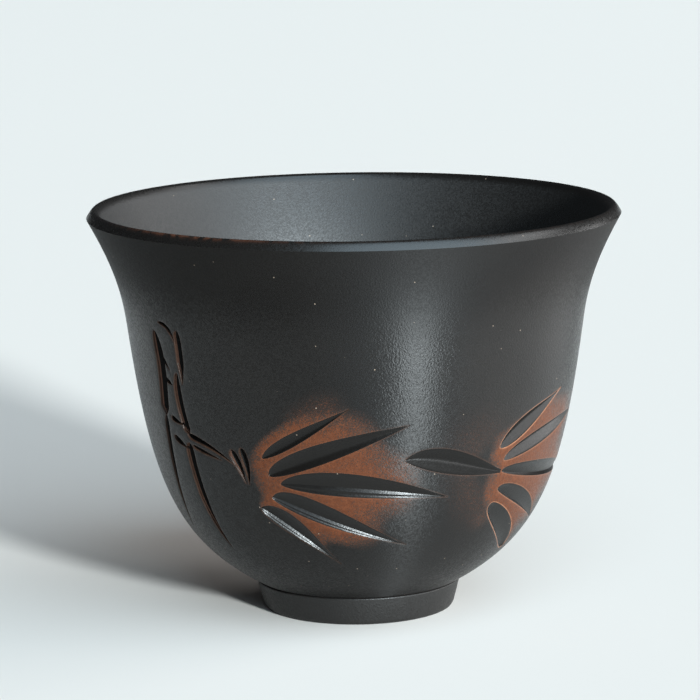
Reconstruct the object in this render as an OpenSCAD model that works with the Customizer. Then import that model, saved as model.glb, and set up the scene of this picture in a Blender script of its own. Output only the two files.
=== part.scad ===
// Clay teacup: a thrown bowl with a flared lip, a luted foot ring and a black slip coat.
// Bamboo is carved in the wall: a jointed stalk, a twig and two sprays of leaves.
// The axis is Z, the cup stands on z = 0, and azimuth 0 faces -Y.

/* [Bowl] */
// Outside diameter of the lip
rim_d = 74; // [68:0.5:84]
// Height of the lip above the table
cup_h = 56.6; // [52:0.2:66]
// Outside diameter of the neck, where the wall stands most upright
neck_d = 63.6; // [60:0.2:68]
// Height of the neck above the table
neck_h = 40.8; // [37:0.2:45]
// Lean of the wall from upright at the lip, in degrees
lip_lean = 29; // [15:1:40]
// Lean of the wall from upright at the neck, in degrees
neck_lean = 7.6; // [2:0.2:14]
// Lean of the wall from upright where it meets the foot, in degrees
seat_lean = 61; // [50:1:70]
// Wall thickness at the lip
lip_t = 1.8; // [1.4:0.1:2.6]
// Wall thickness at the neck
wall_t = 2.6; // [2.2:0.1:4]
// Thickness of the floor
floor_t = 3.6; // [2.8:0.1:6]
// Reach of the lip's outer face, as a share of its thickness
lip_face = 0.75; // [0.6:0.05:0.85]

/* [Foot] */
// Outside diameter at the top of the foot
foot_top_d = 28.6; // [26:0.2:34]
// Outside diameter at the bottom of the foot
foot_bottom_d = 26.6; // [24:0.2:32]
// Height of the seam between the foot and the wall
seam_h = 4.1; // [3.4:0.1:6]
// Depth of the recess under the bowl
recess_h = 2.7; // [2:0.1:3.2]
// Diameter of the recess at its top
recess_d = 20; // [16:0.2:21.4]
// Draft of the recess wall, added to its radius at the table
recess_draft = 0.5; // [0.2:0.1:1]
// Chamfer on both lower edges of the foot
foot_edge = 0.4; // [0.2:0.1:0.6]
// Width and height of the ledge on the foot's top edge
foot_ledge = 0.15; // [0.1:0.05:0.3]

/* [Slip] */
// Thickness of the black slip coat
coat_t = 0.3; // [0.2:0.05:0.5]
// Thickness of the luting slip under the foot's seat
lute_t = 0.25; // [0.2:0.05:0.4]
// Distance that the luting slip stays back from the seam
lute_setback = 0.5; // [0.3:0.1:1]

/* [Carving] */
// Depth of a leaf at its middle, as a share of its width
leaf_depth = 0.2; // [0.14:0.01:0.22]
// Width of the grooves of the stalk
stalk_w = 1.2; // [0.8:0.1:1.6]
// Depth of the grooves of the stalk
stalk_d = 0.8; // [0.5:0.05:1]
// Width of a short stroke
stroke_w = 1; // [0.6:0.1:1.4]
// Depth of a short stroke
stroke_d = 0.5; // [0.4:0.05:0.8]

/* [Hidden] */
$fn = 180;

black_slip = "#2b2827";
red_clay = "#7d4029";

// Leaves of the two sprays: azimuth and height of the middle, length, tilt and width
left_leaves = [
    [-13.6, 30.0, 14.4, 31, 1.8],
    [-5.4, 27.5, 20.7, 21, 2.9],
    [2.4, 21.6, 23.2, -6, 3.5],
    [-4.5, 17.2, 19.8, -22, 3.2],
    [-17.0, 15.0, 13.8, -43, 2.8],
];
right_leaves = [
    [27.5, 24.6, 15.0, -12, 3.4],
    [53.2, 29.6, 14.5, 26, 2.6],
    [61.5, 26.5, 18.4, 12, 2.5],
    [65.5, 21.4, 21.6, -9, 2.4],
    [57.6, 17.2, 14.6, -27, 2.3],
    [52.3, 14.3, 13.2, -44, 3.0],
];

// Long grooves of the stalk: azimuth, lowest and highest point, and tilt
stalk_grooves = [
    [-57.3, 28.6, 42.0, -1],
    [-61.8, 14.0, 27.0, -13],
    [-48.5, 36.9, 42.6, 0],
    [-50.3, 28.6, 35.4, 2],
    [-49.2, 12.4, 26.6, 3],
];

// Short strokes at the stalk's joints, its twig and the twig's end, listed like the leaves without a width
strokes = [
    [-52.4, 42.6, 3.8, -36],
    [-54.2, 37.7, 2.2, -48],
    [-53.8, 35.3, 2.2, -20],
    [-53.2, 29.7, 2.6, -14],
    [-53.6, 26.9, 2.8, -24],
    [-41.6, 26.6, 8.0, -22],
    [-33.4, 25.1, 4.6, -79],
    [-30.4, 24.9, 5.2, -88],
];

// Rubbed-back windows in the coat: azimuth of the spray, then circles of sideways place, height and radius
left_window = [-5, [[-5.5, 23, 7.5], [1.5, 27.2, 6.5], [1.5, 18.6, 6.5]]];
right_window = [48, [[-1, 23, 6.5], [4, 27.6, 6], [2, 16.6, 6]]];

// Curve fullness: handle lengths as shares of the chord that the curve spans
seat_pull = 0.33;
belly_pull = 0.54;
neck_pull = 0.285;
flare_pull = 0.465;
floor_pull = 0.45;
inside_pull = 0.55;
lip_pull = 0.35;
belly_steps = 14;
flare_steps = 7;
lip_steps = 8;

// Leans of the lip's outer face and of its top, at its inner edge
lip_face_lean = -20;
lip_top_lean = 61;

// Directions in the profile plane: up a leaning wall, and square out of it
function up_wall(lean) = [sin(lean), cos(lean)];
function out_wall(lean) = [cos(lean), -sin(lean)];
function unit(v) = v / norm(v);
function mix(a, b, t) = a + (b - a) * t;

// A cubic curve from p to q, with handles a and b, as pairs of point and tangent
function point_at(p, a, b, q, t) =
    p * pow(1 - t, 3) + 3 * a * t * pow(1 - t, 2) + 3 * b * (1 - t) * t * t + q * t * t * t;
function tangent_at(p, a, b, q, t) =
    unit((a - p) * pow(1 - t, 2) + 2 * (b - a) * t * (1 - t) + (q - b) * t * t);
function curve(p, a, b, q, steps, first = 0) =
    [for (i = [first : steps]) [point_at(p, a, b, q, i / steps), tangent_at(p, a, b, q, i / steps)]];

// Corners of the wall's profile
lip_in_rel = -lip_t * out_wall(lip_lean);
lip_rel = curve([0, 0], lip_face * lip_t * up_wall(lip_face_lean),
                lip_in_rel + lip_pull * lip_t * up_wall(lip_top_lean), lip_in_rel, lip_steps);
lip_rise = max([for (s = lip_rel) s[0][1]]);
seat = [foot_top_d / 2, seam_h];
neck = [neck_d / 2, neck_h];
rim = [rim_d / 2, cup_h - lip_rise];
rim_in = rim + lip_in_rel;
neck_in = neck - wall_t * out_wall(neck_lean);
floor_mid = [0, recess_h + floor_t];

// Handle lengths
belly_span = norm(neck - seat);
flare_span = norm(rim - neck);
inside_span = norm(neck_in - floor_mid);

outer_low = curve(seat, seat + seat_pull * belly_span * up_wall(seat_lean),
                  neck - belly_pull * belly_span * up_wall(neck_lean), neck, belly_steps);
outer_high = curve(neck, neck + neck_pull * flare_span * up_wall(neck_lean),
                   rim - flare_pull * flare_span * up_wall(lip_lean), rim, flare_steps, 1);
lip = [for (i = [1 : lip_steps]) [rim + lip_rel[i][0], lip_rel[i][1]]];
inner_high = curve(rim_in, rim_in - flare_pull * flare_span * up_wall(lip_lean),
                   neck_in + neck_pull * flare_span * up_wall(neck_lean), neck_in, flare_steps, 1);
inner_low = curve(neck_in, neck_in - inside_pull * inside_span * up_wall(neck_lean),
                  floor_mid + [floor_pull * inside_span, 0], floor_mid, belly_steps, 1);

// The whole skin of the wall, from the seam up the outside, over the lip and down to the middle of the floor
skin = concat(outer_low, outer_high, lip, inner_high, inner_low);
rim_index = len(outer_low) + len(outer_high) - 1;
last_index = len(skin) - 1;
function sunk(depth, first = 0, last = last_index) =
    [for (i = [first : last]) skin[i][0] - depth * [skin[i][1][1], -skin[i][1][0]]];
function reversed(points) = [for (i = [len(points) - 1 : -1 : 0]) points[i]];
function band(depth, first, last) = concat(sunk(0, first, last), reversed(sunk(depth, first, last)));

// The outer wall's radius, lean and upright curvature at a height
outer_wall = concat(outer_low, outer_high);
radius_table = [for (s = outer_wall) [s[0][1], s[0][0]]];
lean_table = [for (s = outer_wall) [s[0][1], atan2(s[1][0], s[1][1])]];
curve_reach = 2;
function wall_radius(z) = lookup(z, radius_table);
function wall_lean(z) = lookup(z, lean_table);
function upright_curvature(z) =
    (wall_lean(z - curve_reach) - wall_lean(z + curve_reach)) * PI / 180
    * cos(wall_lean(z)) / (2 * curve_reach);
function wall_curvature(z, tilt) =
    pow(cos(tilt), 2) * cos(wall_lean(z)) / wall_radius(z) + pow(sin(tilt), 2) * upright_curvature(z);

// The seat: a cone under the bowl, from the recess's edge out to the seam
recess_r = recess_d / 2;
body_seat = sunk(coat_t, 0, 0)[0];
function seat_z(r) = mix(recess_h, body_seat[1], (r - recess_r) / (body_seat[0] - recess_r));

// The foot's sides, without the coat
ledge_z = seam_h - lute_t - foot_ledge;
ring_in_top = recess_h - lute_t;
function foot_r(z) = mix(foot_bottom_d / 2, foot_top_d / 2, z / ledge_z) - coat_t;
function recess_side(z) = mix(recess_r + recess_draft, recess_r, z / ring_in_top);
ledge_r = foot_r(ledge_z) - foot_ledge;

// Places its children on the outer wall: X runs along the stroke and Z points out of the wall
module on_wall(azimuth, z, tilt) {
    rotate([0, 0, azimuth])
        translate([0, -wall_radius(z), z])
            rotate([90 + wall_lean(z), 0, 0])
                rotate([0, 0, tilt])
                    children();
}

// A V-edged arc that cuts a pointed groove: deepest at its middle, and out of the wall at both ends.
// It bends less than the wall by the groove's own bow, so its edge meets the skin at both tips.
cutter_clear = 0.5;
cutter_reach = 1.3;
hub_share = 0.95;
module pointed_groove(place, width, depth, lining = 0) {
    length = place[2];
    slope = width / 2 / depth;
    bow = 8 * depth / pow(length, 2);
    bend = wall_curvature(place[1], place[3]) - bow;
    way = bend > 0 ? 1 : -1;
    arc_r = 1 / abs(bend);
    sunk_by = lining / sin(atan(slope));
    tall = min(depth + cutter_clear, arc_r * hub_share) + sunk_by;
    sector = cutter_reach * length / arc_r * 180 / PI;
    edge_r = arc_r - way * sunk_by;
    on_wall(place[0], place[1], place[3])
        translate([0, 0, -depth - way * arc_r])
            rotate([90, 0, 0])
                rotate([0, 0, way * 90 - sector / 2])
                    rotate_extrude(angle = sector, $fn = 256)
                        polygon([
                            [edge_r, 0],
                            [edge_r + way * tall, tall * slope],
                            [edge_r + way * tall, -tall * slope],
                        ]);
}

// A groove of even depth that follows the wall upwards
module stalk_groove(place) {
    middle = (place[1] + place[2]) / 2;
    rotate([0, 0, place[0]])
        translate([0, 0, middle])
            rotate([0, place[3], -90])
                translate([0, 0, -middle])
                    rotate([90, 0, 0])
                        linear_extrude(stalk_w, center = true)
                            intersection() {
                                polygon(concat(
                                    sunk(-cutter_clear, 0, rim_index),
                                    reversed(sunk(stalk_d, 0, rim_index))
                                ));
                                translate([0, place[1]])
                                    square([rim_d, place[2] - place[1]]);
                            }
}

module leaves(list, lining = 0) {
    for (leaf = list)
        pointed_groove(leaf, leaf[4], leaf[4] * leaf_depth, lining);
}

module stalk() {
    for (place = stalk_grooves)
        stalk_groove(place);
    for (place = strokes)
        pointed_groove(place, stroke_w, stroke_d);
}

// Everything that is carved out of the wall, with room for the slip left in the leaves
module carving() {
    leaves(left_leaves, coat_t);
    leaves(right_leaves, coat_t);
    stalk();
}

// A prism through the front wall at a spray, with a lobed outline
module window(place) {
    rotate([0, 0, place[0]])
        rotate([90, 0, 0])
            linear_extrude(rim_d)
                for (lobe = place[1])
                    translate([lobe[0], lobe[1]])
                        circle(lobe[2]);
}

module clay_body() {
    rotate_extrude()
        polygon(concat(sunk(coat_t), [[0, recess_h], [recess_r, recess_h]]));
}

module bowl() {
    color(red_clay)
        difference() {
            clay_body();
            carving();
        }
}

module foot_ring() {
    color(red_clay)
        rotate_extrude()
            polygon([
                [recess_side(0) + foot_edge, 0], [foot_r(0) - foot_edge, 0], [foot_r(foot_edge), foot_edge],
                [foot_r(ledge_z), ledge_z], [ledge_r, seat_z(ledge_r) - lute_t],
                [recess_r, ring_in_top], [recess_side(foot_edge), foot_edge],
            ]);
}

module luting_slip() {
    outer_r = body_seat[0] - lute_setback;
    color(black_slip)
        rotate_extrude()
            polygon([
                [recess_r, ring_in_top], [outer_r, seat_z(outer_r) - lute_t],
                [outer_r, seat_z(outer_r)], [recess_r, recess_h],
            ]);
}

module outer_slip() {
    color(black_slip)
        difference() {
            difference() {
                rotate_extrude()
                    polygon(band(coat_t, 0, rim_index));
                window(left_window);
                window(right_window);
            }
            carving();
        }
}

module inner_slip() {
    color(black_slip)
        rotate_extrude()
            polygon(band(coat_t, rim_index, last_index));
}

module foot_slip() {
    color(black_slip)
        rotate_extrude()
            polygon([
                [foot_r(foot_edge), foot_edge], [foot_r(foot_edge) + coat_t, foot_edge],
                [foot_r(ledge_z) + coat_t, ledge_z], [foot_r(ledge_z), ledge_z],
            ]);
}

module base_slip() {
    color(black_slip)
        rotate_extrude()
            polygon([
                [0, recess_h], [0, recess_h - coat_t], [recess_r - coat_t, recess_h - coat_t],
                [recess_side(foot_edge) - coat_t, foot_edge], [recess_side(foot_edge), foot_edge],
                [recess_r, ring_in_top], [recess_r, recess_h],
            ]);
}

module leaf_slip(list) {
    color(black_slip)
        difference() {
            intersection() {
                clay_body();
                leaves(list, coat_t);
            }
            leaves(list);
        }
}

module left_leaf_slip() {
    leaf_slip(left_leaves);
}

module right_leaf_slip() {
    leaf_slip(right_leaves);
}

bowl();
foot_ring();
luting_slip();
outer_slip();
inner_slip();
foot_slip();
base_slip();
left_leaf_slip();
right_leaf_slip();
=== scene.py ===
"""Looks of a clay teacup: black slip over red clay, with carved bamboo rubbed back to the clay.

Lengths are in millimetres until a mesh is made. Azimuth 0 faces -Y, towards the camera, and grows
towards +X. A point of the outer wall is named by its azimuth and its arc length up from the seam.
"""
import math
from typing import NamedTuple

import bpy
import numpy as np
from mathutils import Matrix, Vector
from mathutils.geometry import delaunay_2d_cdt


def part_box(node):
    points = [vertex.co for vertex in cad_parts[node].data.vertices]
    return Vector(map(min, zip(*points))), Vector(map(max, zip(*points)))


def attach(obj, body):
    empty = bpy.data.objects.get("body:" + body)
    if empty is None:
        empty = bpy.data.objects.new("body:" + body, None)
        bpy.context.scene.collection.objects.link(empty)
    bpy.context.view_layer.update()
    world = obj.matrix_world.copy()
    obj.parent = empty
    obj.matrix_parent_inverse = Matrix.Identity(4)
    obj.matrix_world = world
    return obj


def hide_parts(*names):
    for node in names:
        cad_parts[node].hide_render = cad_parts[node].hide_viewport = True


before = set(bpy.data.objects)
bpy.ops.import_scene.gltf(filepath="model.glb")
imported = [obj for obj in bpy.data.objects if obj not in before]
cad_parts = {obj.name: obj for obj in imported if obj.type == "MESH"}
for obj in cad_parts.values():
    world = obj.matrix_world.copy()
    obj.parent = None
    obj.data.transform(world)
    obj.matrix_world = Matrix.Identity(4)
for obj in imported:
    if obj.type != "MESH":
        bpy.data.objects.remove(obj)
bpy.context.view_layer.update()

MM = 0.001
BODY = "root"

# The wall's own sizes; a lean is measured outwards from upright
COAT_T = 0.3
WALL_T = 2.6
LIP_T = 1.8
NECK_R = 31.8
NECK_Z = 40.8
SEAT_LEAN = math.radians(61)
NECK_LEAN = math.radians(7.6)
LIP_LEAN = math.radians(29)

# The lip's bevel: the handles of its curve at the outer corner and at the inner one
LIP_FACE = 1.6
LIP_FACE_LEAN = math.radians(-30)
LIP_TOP = 0.7
LIP_TOP_LEAN = math.radians(50)

# The foot, its recess, and the slip that joins it to the bowl
FOOT_BOTTOM_R = 13.3
FOOT_LEDGE = 0.15
RECESS_R = 10.0
RECESS_DRAFT = 0.5
LUTE_T = 0.25
LUTE_SETBACK = 0.5

# The foot's coat: its thin lower edge, and the cove at its top
TOE_Z = 0.1
TOE_BACK = 0.3
TIP_Z = 0.02
TIP_BACK = 0.2
COVE_RISE = 0.2
COVE_TOP = 0.38
COVE_LAP = 0.05
COVE_TUCK = 0.15

# How far the corners of the foot and of its coats are rounded
EDGE_ROUND = 0.1
BEVEL_ROUND = 0.3
SHOULDER_ROUND = 0.2
COVE_ROUND = 0.05
STANDING_ROUND = 0.2
RECESS_ROUND = 0.8


def corners(node):
    """Lowest and highest corner of a CAD node, in millimetres."""
    low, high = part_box(node)
    return np.array(low) / MM, np.array(high) / MM


# Sizes read from the frame
RIM_R = corners("outer_slip")[1][0]
CUP_H = corners("inner_slip")[1][2]
SEAM_Z = corners("outer_slip")[0][2]
FOOT_TOP_R = corners("foot_slip")[1][0]
FOOT_EDGE = corners("foot_slip")[0][2]
LEDGE_Z = corners("foot_slip")[1][2]
RECESS_H = corners("base_slip")[1][2]
FLOOR_MID_Z = corners("inner_slip")[0][2] + COAT_T

# Curve fullness: handle lengths as shares of the chord
SEAT_PULL = 0.33
BELLY_PULL = 0.54
NECK_PULL = 0.285
FLARE_PULL = 0.465
FLOOR_PULL = 0.45
INSIDE_PULL = 0.55

# Mesh spacing: of points on the wall and along the carving, and counts of steps
FINE_STEP = 0.55
COARSE_STEP = 1.3
CARVE_STEP = 0.2
SEGMENTS = 360
CURVE_STEPS = 240
LIP_STEPS = 24
FLARE_STEPS = 20
INSIDE_STEPS = 60
ROUND_STEPS = 5

# Angles in degrees above which an edge is sharp
CREASE = 32
LEAF_CREASE = 26

# Radius at which the wall is unrolled
UNROLL_R = 28.0
HALF_TURN = math.pi * UNROLL_R

# What a face of the unrolled wall belongs to
COAT, LEFT, RIGHT, GROOVE = range(4)

# Lengths taken as nothing
TOUCHING = 1e-4    # from a border of the sheet
ON_AXIS = 1e-6     # from the cup's axis
MERGING = 1e-6     # between points
MIN_LENGTH = 1e-9  # the least that is divided by


# Profile

def up_wall(lean):
    """Direction up a wall, as radius and height."""
    return np.array([math.sin(lean), math.cos(lean)])


def out_wall(lean):
    """Direction out of a wall, square to it."""
    return np.array([math.cos(lean), -math.sin(lean)])


def bezier(p, a, b, q, steps=CURVE_STEPS):
    """Points and unit tangents of a cubic curve."""
    t = np.linspace(0, 1, steps + 1)[:, None]
    points = p * (1 - t) ** 3 + 3 * a * t * (1 - t) ** 2 + 3 * b * (1 - t) * t ** 2 + q * t ** 3
    tangents = (a - p) * (1 - t) ** 2 + 2 * (b - a) * t * (1 - t) + (q - b) * t ** 2
    return points, tangents / np.linalg.norm(tangents, axis=1)[:, None]


def join(*curves):
    """One curve of several that run on from each other."""
    points = np.concatenate([curves[0][0]] + [c[0][1:] for c in curves[1:]])
    tangents = np.concatenate([curves[0][1]] + [c[1][1:] for c in curves[1:]])
    return points, tangents


def lengths(points):
    """Length along a line of points, up to each of them."""
    return np.concatenate([[0], np.cumsum(np.linalg.norm(np.diff(points, axis=0), axis=1))])


def over_lip(rim):
    """The curve from the rim's outer corner over the lip."""
    end = rim - LIP_T * out_wall(LIP_LEAN)
    face = rim + LIP_FACE * up_wall(LIP_FACE_LEAN)
    return bezier(rim, face, end + LIP_TOP * up_wall(LIP_TOP_LEAN), end, LIP_STEPS)


def sunk(profile, depth):
    """A profile moved into the clay, square to itself."""
    points, tangents = profile
    return points - depth * np.stack([tangents[:, 1], -tangents[:, 0]], -1)


seat = np.array([FOOT_TOP_R, SEAM_Z])
neck = np.array([NECK_R, NECK_Z])
lip_rise = over_lip(np.zeros(2))[0][:, 1].max()
rim = np.array([RIM_R, CUP_H - lip_rise])
rim_in = rim - LIP_T * out_wall(LIP_LEAN)
neck_in = neck - WALL_T * out_wall(NECK_LEAN)
floor_mid = np.array([0.0, FLOOR_MID_Z])
belly_span = np.linalg.norm(neck - seat)
flare_span = np.linalg.norm(rim - neck)
inside_span = np.linalg.norm(neck_in - floor_mid)

outer_curve = join(
    bezier(seat, seat + SEAT_PULL * belly_span * up_wall(SEAT_LEAN),
           neck - BELLY_PULL * belly_span * up_wall(NECK_LEAN), neck),
    bezier(neck, neck + NECK_PULL * flare_span * up_wall(NECK_LEAN),
           rim - FLARE_PULL * flare_span * up_wall(LIP_LEAN), rim),
)
inside_curve = join(
    over_lip(rim),
    bezier(rim_in, rim_in - FLARE_PULL * flare_span * up_wall(LIP_LEAN),
           neck_in + NECK_PULL * flare_span * up_wall(NECK_LEAN), neck_in, FLARE_STEPS),
    bezier(neck_in, neck_in - INSIDE_PULL * inside_span * up_wall(NECK_LEAN),
           floor_mid + np.array([FLOOR_PULL * inside_span, 0]), floor_mid, INSIDE_STEPS),
)
body_seat = sunk(outer_curve, COAT_T)[0]

wall_points, wall_tangents = outer_curve
wall_s = lengths(wall_points)
wall_lean = np.arctan2(wall_tangents[:, 0], wall_tangents[:, 1])
WALL_LENGTH = wall_s[-1]


def s_at(z):
    """Arc length up the wall at a height."""
    return np.interp(z, wall_points[:, 1], wall_s)


def radius_at(s):
    """Radius of the wall at an arc length."""
    return np.interp(s, wall_s, wall_points[:, 0])


# Carved leaves

class Leaf(NamedTuple):
    """A carved leaf, between two places given by azimuth in degrees and height."""
    base: tuple
    tip: tuple
    bow: float         # how far its axis bows upwards
    upper: float       # half width above its axis
    lower: float       # half width below its axis
    widest: float      # share of its length where it is widest
    taper: float       # how its base narrows: 0 is square, 1 is straight to a point
    valley: float      # share of its width, from the lower edge, where its valley lies
    wall: tuple        # kind of its lower wall
    above: float = 0   # how far the slip is rubbed back above it
    below: float = 0   # how far the slip is rubbed back below it
    fade: float = 1.0  # share of its length where the rubbing starts to fade
    worn: float = 0.1  # how worn its edge is
    cut: float = 1.0   # share of its length where a blunt end is cut
    deep: float = 1.0  # its depth, as a share of the usual one


# Kinds of a leaf's wall, as shares of the way from its edge to the valley and the depth shares there:
# STEP is cut in two strokes, and SHELF drops near the valley
EVEN = np.linspace(0.1, 0.9, 9)
ROUND = (EVEN, np.sin(EVEN * math.pi / 2))
FLAT = (EVEN, EVEN)
STEP = ([0.12, 0.24, 0.36, 0.44, 0.53, 0.62, 0.75, 0.88],
        [0.16, 0.32, 0.47, 0.49, 0.51, 0.53, 0.70, 0.87])
SHELF = (EVEN, np.interp(EVEN, [0, 0.8, 1], [0, 0.69, 1]))

LEFT_LEAVES = [
    Leaf((-25.3, 26.3), (-1.9, 33.6), bow=-0.2, upper=1.2, lower=0.6, widest=0.33, taper=0.6,
         valley=0.45, wall=ROUND, above=1.3, below=3.0, fade=0.42),
    Leaf((-24.0, 23.9), (13.3, 31.1), bow=0.0, upper=2.0, lower=0.9, widest=0.33, taper=0.5,
         valley=0.45, wall=ROUND, above=3.0, below=4.2, fade=0.52),
    Leaf((-20.9, 22.8), (25.6, 20.5), bow=0.4, upper=2.4, lower=1.1, widest=0.36, taper=0.6,
         valley=0.33, wall=STEP, above=4.2, below=3.0, fade=0.5, deep=0.75),
    Leaf((-24.0, 20.7), (15.0, 13.8), bow=-0.5, upper=2.55, lower=0.6, widest=0.28, taper=0.47,
         valley=0.25, wall=STEP, above=3.0, below=2.2, fade=0.5, deep=0.84),
    Leaf((-28.1, 19.1), (-5.8, 10.9), bow=0.35, upper=1.95, lower=0.85, widest=0.26, taper=0.55,
         valley=0.2, wall=STEP, above=2.4, fade=0.45, deep=0.95),
]
RIGHT_LEAVES = [
    Leaf((12.6, 26.1), (45.8, 22.7), bow=-0.5, upper=2.9, lower=0.6, widest=0.34, taper=0.7,
         valley=0.5, wall=SHELF, cut=0.9, deep=0.62),
    Leaf((40.8, 26.5), (65.6, 32.8), bow=0.45, upper=1.4, lower=1.2, widest=0.31, taper=0.65,
         valley=0.5, wall=FLAT, below=3.0, fade=0.62, worn=1.0, deep=1.25),
    Leaf((43.0, 24.6), (80.0, 28.4), bow=0.2, upper=1.75, lower=0.7, widest=0.38, taper=0.5,
         valley=0.58, wall=FLAT, above=3.0, below=3.2, fade=0.7, worn=0.4, deep=1.3),
    Leaf((42.9, 23.0), (89.0, 19.7), bow=-0.3, upper=1.75, lower=0.65, widest=0.46, taper=0.5,
         valley=0.13, wall=FLAT, above=3.0, below=3.2, fade=0.62, worn=0.2),
    Leaf((42.9, 20.5), (72.0, 13.9), bow=0.15, upper=1.7, lower=0.65, widest=0.37, taper=0.44,
         valley=0.14, wall=FLAT, above=2.8, below=2.2, fade=0.68, worn=0.45),
    Leaf((41.7, 18.4), (63.4, 10.2), bow=0.5, upper=1.0, lower=2.0, widest=0.45, taper=0.4,
         valley=0.16, wall=FLAT, above=1.7, fade=0.7, worn=1.0),
]
LEAF_DEPTH = 0.22                          # usual depth, as a share of the width
MIN_WALL = 0.12                            # narrowest wall that carries inner points
BLUNT_SHARES = np.linspace(0.95, 0.05, 5)  # shares across a blunt end where it has points

# Rubbing round a leaf
HALO_STRETCH = (0.02, 0.98)  # shares of the axis that it is measured from
HALO_BASE = 1.2              # how much sooner it ends beyond the base
HALO_TIP = 1.5               # how much sooner it ends beyond the tip
HALO_FADE = 0.35             # share of the length over which it fades
HALO_EDGE = 1.05             # how much is rubbed off at the leaf's edge
HALO_LOSS = 0.75             # how much less is rubbed off at the end of the reach

# Faint haze of rubbed slip, less of it where negative: azimuth, height, reach and strength
HAZE = [
    (34, 27, 7.0, 0.18), (36, 19, 5.5, 0.15), (39.5, 16, 1.6, 0.14), (41, 24, 2.6, -0.55),
    (-15, 31.6, 2.6, 0.2), (-7.5, 33.6, 3.0, 0.22), (-31, 20.4, 2.2, -0.8),
]


def unrolled(places):
    """Azimuth in degrees and height to unrolled coordinates."""
    places = np.asarray(places, float)
    return np.stack([np.radians(places[:, 0]) * UNROLL_R, s_at(places[:, 1])], -1)


class LeafShape:
    """A leaf's axis, outline and depth in unrolled coordinates."""

    def __init__(self, leaf, kind):
        self.leaf = leaf
        self.kind = kind
        self.worn = leaf.worn
        ends = unrolled([leaf.base, leaf.tip])
        self.middle = ends.mean(0)
        self.stretch = np.array([UNROLL_R / radius_at(self.middle[1]), 1.0])
        self.base, self.tip = (ends - self.middle) / self.stretch
        self.length = np.linalg.norm(self.tip - self.base)
        self.along = (self.tip - self.base) / self.length
        self.across = np.array([-self.along[1], self.along[0]])

    def swell(self, t):
        """Half width from 0 to 1 along the leaf."""
        lead = self.leaf.taper
        trail = lead * (1 - self.leaf.widest) / self.leaf.widest
        peak = self.leaf.widest ** lead * (1 - self.leaf.widest) ** trail
        return t ** lead * (1 - t) ** trail / peak

    def bowed(self, t):
        """How far the axis lies above the straight line between its ends."""
        return 4 * self.leaf.bow * t * (1 - t)

    def place(self, t, side):
        """Unrolled points at a share of the length and a distance above the axis."""
        t = np.asarray(t, float)
        offset = side + self.bowed(t)
        local = self.base + np.outer(t * self.length, self.along) + np.outer(offset, self.across)
        return local * self.stretch + self.middle

    def edge(self, t, upper):
        """Where the upper or the lower edge lies above the axis."""
        reach = self.leaf.upper if upper else -self.leaf.lower
        return reach * self.swell(t)

    def rows(self):
        """Shares of the length, closer together at both ends."""
        turn = np.linspace(0, math.pi, int(self.length / CARVE_STEP))
        return (1 - np.cos(turn)) / 2 * self.leaf.cut

    def outline(self):
        """The leaf's edge, anticlockwise from its base."""
        t = self.rows()
        up = self.place(t[1:-1], self.edge(t[1:-1], True))
        low = self.place(t[1:-1], self.edge(t[1:-1], False))
        if self.leaf.cut == 1.0:
            end = self.place([1.0], [0.0])
        else:
            last = np.full(len(BLUNT_SHARES), self.leaf.cut)
            below, above = self.edge(last, False), self.edge(last, True)
            end = self.place(last, below + BLUNT_SHARES * (above - below))
        return np.concatenate([self.place([0.0], [0.0]), low, end[::-1], up[::-1]])

    def inner(self):
        """Points inside the outline with their depth, and the runs of points that lie along the leaf."""
        rows = self.rows()[1:-1]
        low, high = self.edge(rows, False), self.edge(rows, True)
        bottom = low + self.leaf.valley * (high - low)
        full = LEAF_DEPTH * self.leaf.deep * (high - low)
        points, depths, runs = [self.place(rows, bottom)], [full], [np.arange(len(rows))]
        for side, wall in ((low, self.leaf.wall), (high, ROUND)):
            keep = np.abs(bottom - side) > MIN_WALL
            for share, depth in zip(*wall):
                first = sum(len(run) for run in points)
                points.append(self.place(rows[keep], (side + (bottom - side) * share)[keep]))
                depths.append((full * depth)[keep])
                runs.append(np.arange(first, first + int(keep.sum())))
        return np.concatenate(points), np.concatenate(depths), runs

    def halo(self, points):
        """How much slip is rubbed off round the leaf, from 0 to 1."""
        local = (points - self.middle) / self.stretch - self.base
        t = np.clip(local @ self.along / self.length, *HALO_STRETCH)
        out = local @ self.along - t * self.length
        side = local @ self.across - self.bowed(t)
        above = side > 0
        half = np.where(above, self.leaf.upper, self.leaf.lower) * self.swell(t)
        beyond = np.where(out < 0, HALO_BASE, HALO_TIP) * out
        gap = np.hypot(np.maximum(np.abs(side) - half, 0), beyond)
        reach = np.where(above, self.leaf.above, self.leaf.below)
        strength = (1 - np.clip((t - self.leaf.fade) / HALO_FADE, 0, 1)) * (reach > 0)
        return strength * np.clip(HALO_EDGE - HALO_LOSS * gap / np.maximum(reach, MIN_LENGTH), 0, 1)


# Carved strokes of the stalk

class Stroke(NamedTuple):
    """A stroke through places given by azimuth in degrees and height."""
    points: list
    width: float  # of its core
    depth: float
    start: float  # share of its length over which it widens
    end: float    # share of its length over which it narrows
    bank: float   # width of the bank on its left, which slopes into it where it is wide enough


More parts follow.
